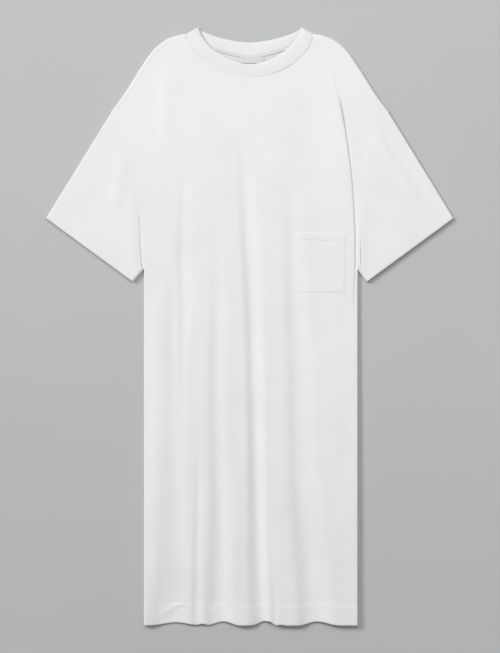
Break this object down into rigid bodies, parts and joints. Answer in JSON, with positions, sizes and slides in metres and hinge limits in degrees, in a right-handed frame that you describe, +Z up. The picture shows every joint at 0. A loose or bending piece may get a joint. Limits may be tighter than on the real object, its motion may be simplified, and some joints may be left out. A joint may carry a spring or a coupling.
{
  "type": "t-shirt dress",
  "caption": "Oversized cotton jersey t-shirt dress laid flat on its back: ribbed crew neck, dropped shoulders, wide short sleeves, chest patch pocket, straight skirt with broad soft folds.",
  "frame": {"origin": "bottom centre of the bounding box, on the surface that the dress lies on", "axes": "+Y runs up the dress from hem to neck, +X to the wearer's left, +Z up from the surface through back and front"},
  "size_m": [0.775, 1.1402, 0.0118],
  "materials": {
    "jersey_back": "white cotton single jersey, matt, fine knit",
    "jersey_front": "white cotton single jersey, matt, fine knit",
    "jersey_sleeves": "white cotton single jersey, matt, fine knit",
    "rib": "white cotton one-by-one rib, matt",
    "jersey_pocket": "white cotton single jersey, matt, fine knit",
    "label": "plain woven tape, bare of any text"
  },
  "bodies": {
    "root": {"back_body": "jersey_back", "front_body": "jersey_front", "sleeve_left": "jersey_sleeves", "sleeve_right": "jersey_sleeves", "neckband": "rib", "chest_pocket": "jersey_pocket", "neck_label": "label"}
  },
  "joints": []
}
